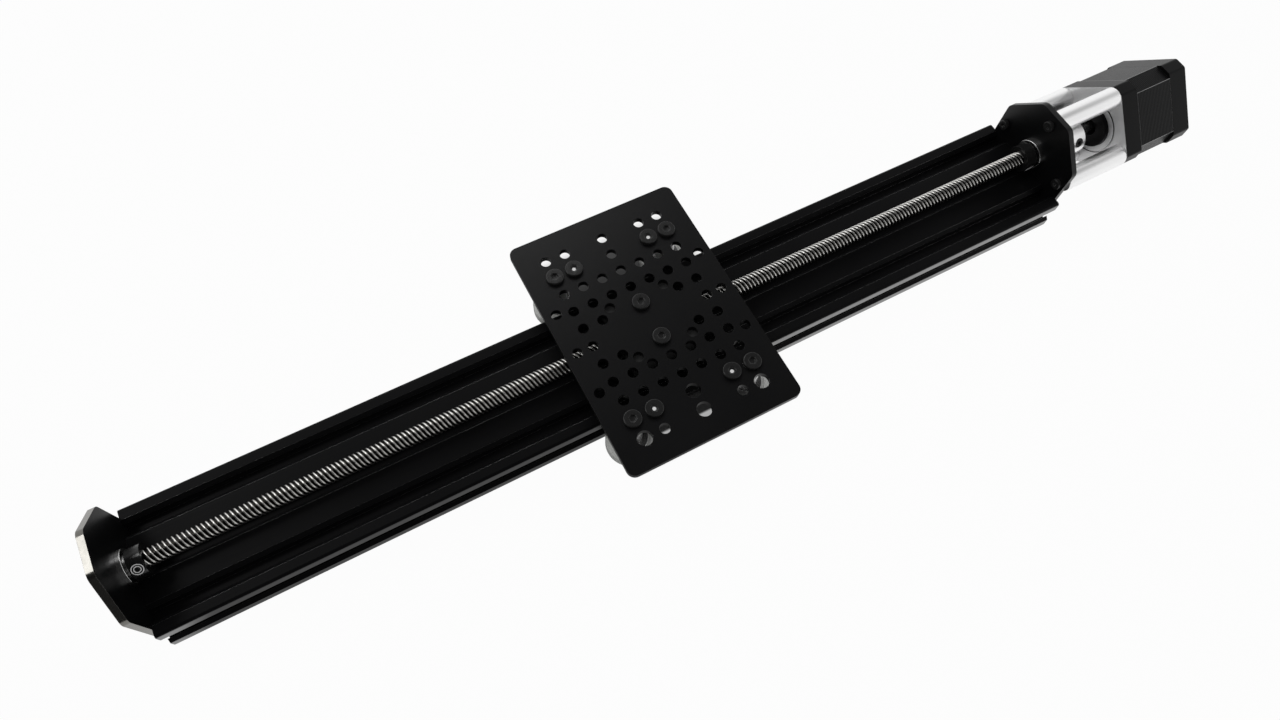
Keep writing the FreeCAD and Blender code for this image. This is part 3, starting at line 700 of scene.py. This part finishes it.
def ramp(tree, value, start, full, low=0.0, high=1.0):
    """Low up to start, going smoothly over to high at full."""
    node = tree.nodes.new("ShaderNodeMapRange")
    node.interpolation_type = "SMOOTHSTEP"
    node.inputs["From Min"].default_value = start
    node.inputs["From Max"].default_value = full
    node.inputs["To Min"].default_value = low
    node.inputs["To Max"].default_value = high
    tree.links.new(value, node.inputs["Value"])
    return node.outputs["Result"]


def make_surround():
    """White to the eye; in reflections, bright walls, a dark ceiling and a dark screen by the camera."""
    world = bpy.data.worlds.new("white_surround")
    world.use_nodes = True
    tree = world.node_tree
    background = tree.nodes["Background"]
    background.inputs["Color"].default_value = (1, 1, 1, 1)
    place = tree.nodes.new("ShaderNodeTexCoord")
    split = tree.nodes.new("ShaderNodeSeparateXYZ")
    toward = tree.nodes.new("ShaderNodeVectorMath")
    toward.operation = "DOT_PRODUCT"
    toward.inputs[1].default_value = dark_screen
    tree.links.new(place.outputs["Generated"], split.inputs[0])
    tree.links.new(place.outputs["Generated"], toward.inputs[0])
    walls = ramp(tree, split.outputs["Z"], wall_top, ceiling_edge, 1.0, dim_level)
    screen = ramp(tree, toward.outputs["Value"], screen_edge, screen_middle, 1.0, dim_level)
    path = tree.nodes.new("ShaderNodeLightPath")
    seen = math_node(tree, "MAXIMUM", path.outputs["Is Camera Ray"], path.outputs["Is Transmission Ray"])
    plain = tree.nodes.new("ShaderNodeMix")
    tree.links.new(seen, plain.inputs["Factor"])
    tree.links.new(spread(tree, split.outputs["Z"], soft_side, soft_above), plain.inputs["A"])
    plain.inputs["B"].default_value = 1.0
    level = tree.nodes.new("ShaderNodeMix")
    tree.links.new(path.outputs["Is Glossy Ray"], level.inputs["Factor"])
    tree.links.new(plain.outputs["Result"], level.inputs["A"])
    tree.links.new(math_node(tree, "MULTIPLY", walls, screen), level.inputs["B"])
    tree.links.new(level.outputs["Result"], background.inputs["Strength"])
    bpy.context.scene.world = world


def seen_directly(tree):
    """1 for a ray from the camera, a reflection or a clear body, 0 for soft light."""
    path = tree.nodes.new("ShaderNodeLightPath")
    shiny = math_node(tree, "MAXIMUM", path.outputs["Is Glossy Ray"], path.outputs["Is Transmission Ray"])
    return math_node(tree, "MAXIMUM", path.outputs["Is Camera Ray"], shiny)


def carriage_shade(tree, limits):
    """1 on the floor well under the carriage plate, wherever it has moved, and 0 in the open."""
    low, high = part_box("carriage_plate")
    place = tree.nodes.new("ShaderNodeTexCoord")
    place.object = carriage_plate
    split = tree.nodes.new("ShaderNodeSeparateXYZ")
    tree.links.new(place.outputs["Object"], split.inputs[0])
    shade = 1.0
    for axis, label, start, full in limits:
        middle = (low[axis] + high[axis]) / 2
        limit = ramp(tree, split.outputs[label], middle + start, middle + full)
        shade = math_node(tree, "MULTIPLY", shade, limit)
    return shade


def reflected_glow(tree):
    """Strength of the floor's glow: 1, but dimmer in reflections along the beam's idler half."""
    place = tree.nodes.new("ShaderNodeTexCoord")
    split = tree.nodes.new("ShaderNodeSeparateXYZ")
    path = tree.nodes.new("ShaderNodeLightPath")
    tree.links.new(place.outputs["Object"], split.inputs[0])
    from_end = ramp(tree, split.outputs["X"], *dim_floor_end)
    idler_half = math_node(tree, "MULTIPLY", from_end, ramp(tree, split.outputs["X"], *dim_floor_middle))
    dimmed = math_node(tree, "MULTIPLY", path.outputs["Is Glossy Ray"], idler_half)
    return spread(tree, dimmed, 1.0, dim_floor_glow)


def make_floor():
    """Pale floor just under the beam, close to white but keeping a light shadow, with a painted shadow
    that darkens its colour and glow under the carriage plate.
    """
    mesh = bpy.data.meshes.new("floor")
    corners = [(x * floor_reach, y * floor_reach, -floor_drop)
               for x, y in ((-1, -1), (1, -1), (1, 1), (-1, 1))]
    mesh.from_pydata(corners, [], [(0, 1, 2, 3)])
    finish = bpy.data.materials.new("pale_floor")
    finish.use_nodes = True
    tree = finish.node_tree
    shader = tree.nodes["Principled BSDF"]
    shader.inputs["Specular IOR Level"].default_value = 0.0
    shader.inputs["Roughness"].default_value = floor_roughness
    # Painted shadow: under the carriage the floor's colour goes to floor_shaded and its glow fades
    light = math_node(tree, "MULTIPLY", carriage_shade(tree, light_shade), light_shade_share)
    shade = math_node(tree, "MAXIMUM", carriage_shade(tree, deep_shade), light)
    tree.links.new(tint(tree, shade, floor_open, floor_shaded), shader.inputs["Base Color"])
    glow = tree.nodes.new("ShaderNodeEmission")
    tree.links.new(reflected_glow(tree), glow.inputs["Strength"])
    mix = tree.nodes.new("ShaderNodeMixShader")
    open_floor = spread(tree, shade, floor_glow, 0.0)
    tree.links.new(math_node(tree, "MULTIPLY", seen_directly(tree), open_floor), mix.inputs["Fac"])
    tree.links.new(shader.outputs[0], mix.inputs[1])
    tree.links.new(glow.outputs[0], mix.inputs[2])
    tree.links.new(mix.outputs[0], tree.nodes["Material Output"].inputs["Surface"])
    mesh.materials.append(finish)
    floor = bpy.data.objects.new("floor", mesh)
    bpy.context.scene.collection.objects.link(floor)


def make_lamp(name, place, target, size, power):
    """Square soft lamp that points at a target."""
    data = bpy.data.lights.new(name, "AREA")
    data.shape = "SQUARE"
    data.size = size
    data.energy = power
    lamp = bpy.data.objects.new(name, data)
    lamp.location = place
    lamp.rotation_euler = (Vector(target) - Vector(place)).to_track_quat("-Z", "Y").to_euler()
    bpy.context.scene.collection.objects.link(lamp)


make_camera()
make_surround()
make_floor()
for lamp_values in soft_lamps:
    make_lamp(*lamp_values)
bpy.context.scene.view_settings.view_transform = "Standard"
